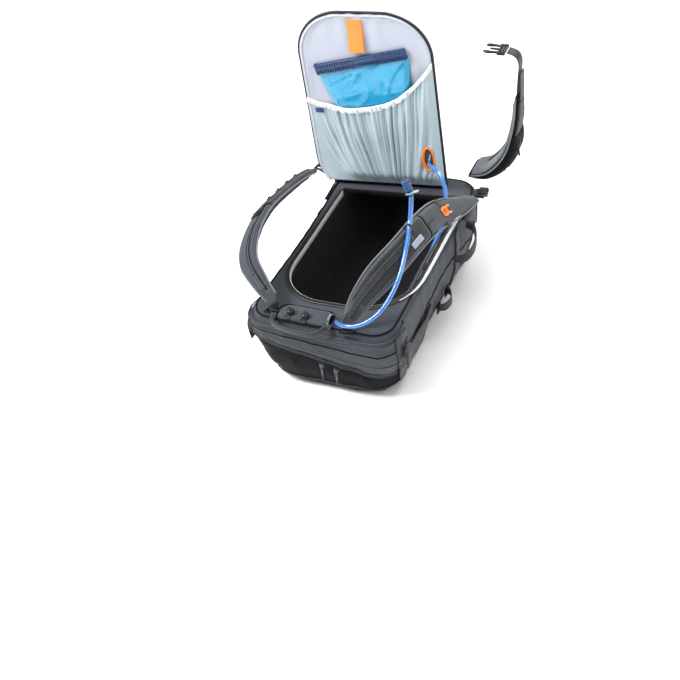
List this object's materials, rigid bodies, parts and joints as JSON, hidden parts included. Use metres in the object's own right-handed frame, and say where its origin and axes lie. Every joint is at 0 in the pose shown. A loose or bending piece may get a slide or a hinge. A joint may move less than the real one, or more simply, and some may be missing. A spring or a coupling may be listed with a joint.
{
  "type": "ski backpack",
  "caption": "Rear-access ski backpack lying on its front, with its back panel open and a drinking system inside it.",
  "frame": {"origin": "centre of the front face that the pack lies on, on the floor", "axes": "+X across the pack to the wearer's right, +Y from the pack's top end to its hip end, +Z from the front face to the back"},
  "size_m": [0.5176, 0.6525, 0.627],
  "materials": {
    "shell_fabric": "tight-woven coated polyester, graphite grey",
    "dark_fabric": "coated ripstop, ink black",
    "strap_fabric": "plain-woven strap face over foam",
    "mesh": "open knit mesh",
    "panel_lining": "pale blue-grey nylon lining",
    "pale_trim": "cream binding",
    "back_foam": "moulded foam under air mesh",
    "frame_plastic": "translucent polyethylene sheet",
    "webbing": "ribbed polyester webbing",
    "buckle_plastic": "moulded acetal, fine grain",
    "zip": "coil zip, coated",
    "orange_fabric": "orange hook-and-loop strap",
    "orange_plastic": "orange moulded plastic",
    "reservoir_film": "translucent blue film",
    "bar_plastic": "ribbed navy plastic",
    "hose_plastic": "clear blue hose",
    "valve_plastic": "dark blue silicone"
  },
  "bodies": {
    "root": {"front_panel": "shell_fabric", "front_tool_pocket": "dark_fabric", "left_side_panel": "shell_fabric", "right_side_panel": "shell_fabric", "top_end_panel": "shell_fabric", "base_panel": "shell_fabric", "back_frame_panel": "shell_fabric", "rim_zip_track": "zip", "rim_lining": "pale_trim", "zip_guard": "dark_fabric", "hinge_piping": "webbing", "top_end_cover": "shell_fabric", "top_pocket_panel": "dark_fabric", "top_pocket_zip": "zip", "helmet_holder": "dark_fabric", "cord_locks": "buckle_plastic", "tube_outlet_tab": "webbing", "right_wing": "strap_fabric", "left_wing": "strap_fabric", "right_strap_webbing": "webbing", "left_strap_webbing": "webbing", "load_lifters": "webbing", "compression_straps": "webbing", "compression_buckles": "buckle_plastic", "side_mesh_pocket": "mesh", "carry_loop": "webbing", "ski_loops": "webbing", "drink_hose_lower": "hose_plastic"},
    "haul_handle": {"haul_loop": "webbing"},
    "back_panel": {"flap_shell": "shell_fabric", "flap_frame_sheet": "frame_plastic", "flap_lining": "panel_lining", "flap_zip_binding": "zip", "back_pads": "back_foam", "lumbar_pad": "back_foam", "sleeve_pocket": "panel_lining", "reservoir": "reservoir_film", "hanger_strap": "orange_fabric", "tube_port_trim": "orange_fabric"},
    "closure": {"closure_bar": "bar_plastic"},
    "left_strap": {"left_shoulder_pad": "strap_fabric", "left_ladder_lock": "buckle_plastic"},
    "chest_adjuster": {"sternum_adjuster": "buckle_plastic"},
    "right_strap": {"right_shoulder_pad": "strap_fabric", "right_ladder_lock": "buckle_plastic", "tube_keeper": "webbing", "drink_hose_upper": "hose_plastic", "bite_valve": "valve_plastic"},
    "chest_clip": {"sternum_clip": "orange_plastic"},
    "valve_collar": {"valve_lever": "valve_plastic"},
    "left_fin": {"left_fin_pad": "strap_fabric", "left_hip_webbing": "webbing", "left_buckle": "buckle_plastic"},
    "right_fin": {"right_fin_pad": "strap_fabric", "right_hip_webbing": "webbing"},
    "hip_buckle": {"right_buckle": "buckle_plastic"},
    "fin_slider": {"fin_zip_slider": "zip"},
    "left_slider": {"pocket_slider_left": "zip"},
    "right_slider": {"pocket_slider_right": "zip"}
  },
  "joints": [
    {"name": "back_panel_hinge", "type": "hinge", "parent": "root", "child": "back_panel", "pos_m": [-0.048, 0.213, 0.187], "axis": [0.9925, 0.1219, 0], "range_deg": [-5, 90], "deforming": ["drink_hose_lower"]},
    {"name": "closure_bar_slide", "type": "slide", "parent": "back_panel", "child": "closure", "axis": [0.9679, 0.1188, 0.2215], "range_m": [0, 0.045]},
    {"name": "left_strap_swing", "type": "hinge", "parent": "root", "child": "left_strap", "pos_m": [-0.108, -0.25, 0.187], "axis": [-0.2161, 0.9763, 0.008], "range_deg": [-20, 0]},
    {"name": "right_strap_swing", "type": "hinge", "parent": "root", "child": "right_strap", "pos_m": [0.07, -0.262, 0.187], "axis": [0.2275, 0.9738, 0.008], "range_deg": [0, 20], "deforming": ["drink_hose_upper"]},
    {"name": "left_fin_swing", "type": "hinge", "parent": "root", "child": "left_fin", "pos_m": [-0.125, 0.302, 0.19], "axis": [0, 1, 0], "range_deg": [-15, 15]},
    {"name": "right_fin_swing", "type": "hinge", "parent": "root", "child": "right_fin", "pos_m": [0.125, 0.302, 0.19], "axis": [0, 1, 0], "range_deg": [-30, 15]},
    {"name": "hip_buckle_turn", "type": "hinge", "parent": "right_fin", "child": "hip_buckle", "pos_m": [0.243, 0.302, 0.515], "axis": [0, 1, 0], "range_deg": [-40, 40]},
    {"name": "fin_zip_slide", "type": "slide", "parent": "right_fin", "child": "fin_slider", "axis": [0.2886, 0, 0.9575], "range_m": [-0.018, 0.02]},
    {"name": "chest_clip_slide", "type": "slide", "parent": "right_strap", "child": "chest_clip", "axis": [0.0128, 0.8994, -0.4369], "range_m": [-0.015, 0.012]},
    {"name": "chest_adjuster_slide", "type": "slide", "parent": "left_strap", "child": "chest_adjuster", "axis": [-0.1073, 0.9928, 0.0537], "range_m": [-0.018, 0.018]},
    {"name": "valve_collar_turn", "type": "hinge", "parent": "right_strap", "child": "valve_collar", "pos_m": [0.157, -0.074, 0.397], "axis": [-0.3811, 0.2006, 0.9025], "range_deg": [0, 90]},
    {"name": "pocket_slider_left_slide", "type": "slide", "parent": "root", "child": "left_slider", "axis": [0.975, 0, -0.2222], "range_m": [-0.118, 0]},
    {"name": "pocket_slider_right_slide", "type": "slide", "parent": "root", "child": "right_slider", "axis": [0.975, 0, -0.2222], "range_m": [0, 0.066]},
    {"name": "haul_loop_swing", "type": "hinge", "parent": "root", "child": "haul_handle", "pos_m": [-0.098, -0.27, 0.19], "axis": [0.9984, -0.0564, 0], "range_deg": [-75, 0]}
  ]
}
